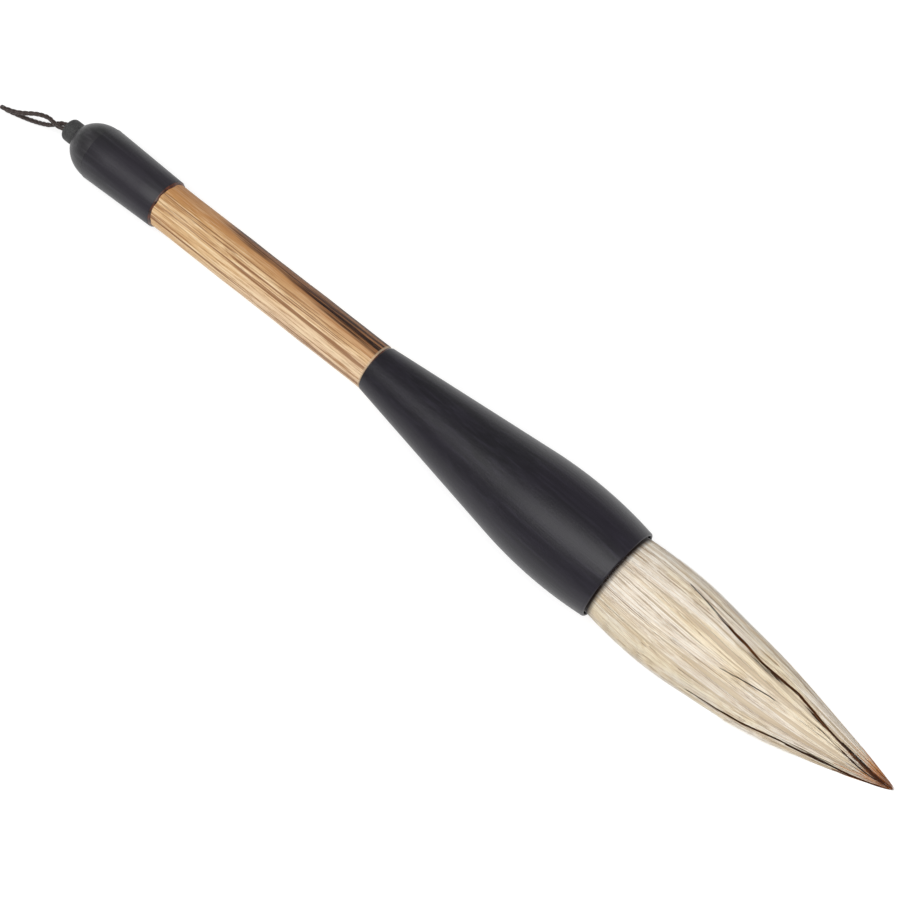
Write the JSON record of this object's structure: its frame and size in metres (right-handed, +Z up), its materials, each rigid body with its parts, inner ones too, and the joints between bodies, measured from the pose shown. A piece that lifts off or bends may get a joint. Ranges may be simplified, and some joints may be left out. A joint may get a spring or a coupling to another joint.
{
  "type": "calligraphy brush",
  "caption": "Large ink brush: pointed hair tuft in a flared dark ferrule, bare wooden shaft, domed dark cap with a button and a cord hanging loop.",
  "frame": {"origin": "under the middle of the brush, on the surface that it lies on", "axes": "+X towards the hair's tip along the brush, +Z up from the surface that it lies on"},
  "size_m": [0.3061, 0.0298, 0.0301],
  "materials": {
    "waxed_cord": "waxed",
    "grey_horn": "matte",
    "black_horn": "satin",
    "dark_glue": "gloss",
    "shaft_wood": "oiled, with long streaks",
    "resin": "gloss",
    "thread": "matte",
    "pale_hair": "soft sheen",
    "lining_hair": "soft sheen",
    "brown_hair": "soft sheen"
  },
  "bodies": {
    "root": {"loop_knot": "waxed_cord", "finial": "grey_horn", "cap_crown": "black_horn", "cap_sleeve": "black_horn", "cap_glue": "dark_glue", "shaft": "shaft_wood", "ferrule_glue": "dark_glue", "ferrule": "black_horn", "root_resin": "resin", "root_thread": "thread", "root_bundle": "pale_hair"},
    "loop": {"hanging_loop": "waxed_cord"},
    "tuft": {"core_hair": "brown_hair", "lining_hair": "lining_hair", "cover_hair": "pale_hair"}
  },
  "joints": [
    {"name": "loop_swing", "type": "hinge", "parent": "root", "child": "loop", "pos_m": [-0.1429, -0.0052, 0.0077], "axis": [0, 0, 1], "range_deg": [-65, 40]},
    {"name": "tuft_bend", "type": "hinge", "parent": "root", "child": "tuft", "pos_m": [0.06077, 0, 0.01589], "axis": [0, 0, 1], "range_deg": [-25, 25], "stiffness_Nm_per_rad": 0.03}
  ]
}
